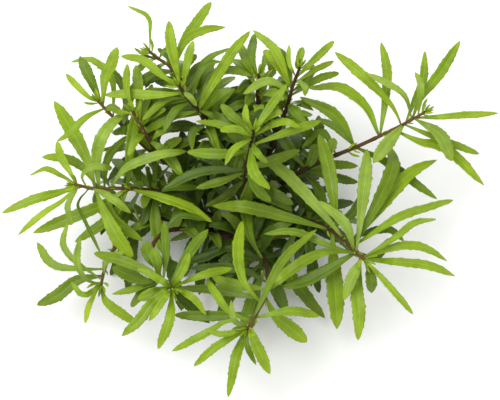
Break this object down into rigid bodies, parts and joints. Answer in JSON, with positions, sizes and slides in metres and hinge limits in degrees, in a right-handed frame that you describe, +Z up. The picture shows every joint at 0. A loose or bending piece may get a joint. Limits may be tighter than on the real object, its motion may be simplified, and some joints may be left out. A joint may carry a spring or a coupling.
{
  "type": "pogostemon quadrifolius plant",
  "caption": "Bushy aquatic stem plant grown above water: arching stems from one cut root crown, with whorls of long narrow pointed leaves.",
  "frame": {"origin": "middle of the flat cut under the root crown, where the plant rests", "axes": "+Z up, +X to the right in the picture and along the plant's widest spread, +Y away from the camera"},
  "size_m": [0.2693, 0.2271, 0.1093],
  "materials": {
    "crown": "rough dark root bark",
    "shoot": "soft reddish-brown stem with its smaller green leaves",
    "leaf": "satin green leaf blade with a pale midrib"
  },
  "bodies": {
    "root": {"centre_leaf_1": "leaf", "centre_leaf_2": "leaf", "centre_leaf_3": "leaf", "centre_stem": "shoot", "crown": "crown", "east_leaf_1": "leaf", "east_leaf_2": "leaf", "east_leaf_3": "leaf", "east_leaf_4": "leaf", "east_leaf_5": "leaf", "east_leaf_6": "leaf", "east_leaf_7": "leaf", "east_stem": "shoot", "mid_west_leaf_1": "leaf", "mid_west_stem": "shoot", "north_east_leaf_1": "leaf", "north_east_leaf_2": "leaf", "north_east_leaf_3": "leaf", "north_east_stem": "shoot", "north_leaf_1": "leaf", "north_stem": "shoot", "north_tall_leaf_1": "leaf", "north_tall_leaf_2": "leaf", "north_tall_leaf_3": "leaf", "north_tall_leaf_4": "leaf", "north_tall_stem": "shoot", "north_twig_leaf_1": "leaf", "north_twig_leaf_2": "leaf", "north_twig_stem": "shoot", "north_west_leaf_1": "leaf", "north_west_leaf_2": "leaf", "north_west_stem": "shoot", "south_east_leaf_1": "leaf", "south_east_leaf_2": "leaf", "south_east_leaf_3": "leaf", "south_east_leaf_4": "leaf", "south_east_leaf_5": "leaf", "south_east_leaf_6": "leaf", "south_east_leaf_7": "leaf", "south_east_stem": "shoot", "south_leaf_1": "leaf", "south_leaf_2": "leaf", "south_leaf_3": "leaf", "south_leaf_4": "leaf", "south_stem": "shoot", "south_west_leaf_1": "leaf", "south_west_leaf_2": "leaf", "south_west_leaf_3": "leaf", "south_west_leaf_4": "leaf", "south_west_stem": "shoot", "west_leaf_1": "leaf", "west_leaf_2": "leaf", "west_leaf_3": "leaf", "west_leaf_4": "leaf", "west_leaf_5": "leaf", "west_low_leaf_1": "leaf", "west_low_leaf_2": "leaf", "west_low_leaf_3": "leaf", "west_low_stem": "shoot", "west_stem": "shoot"}
  },
  "joints": []
}
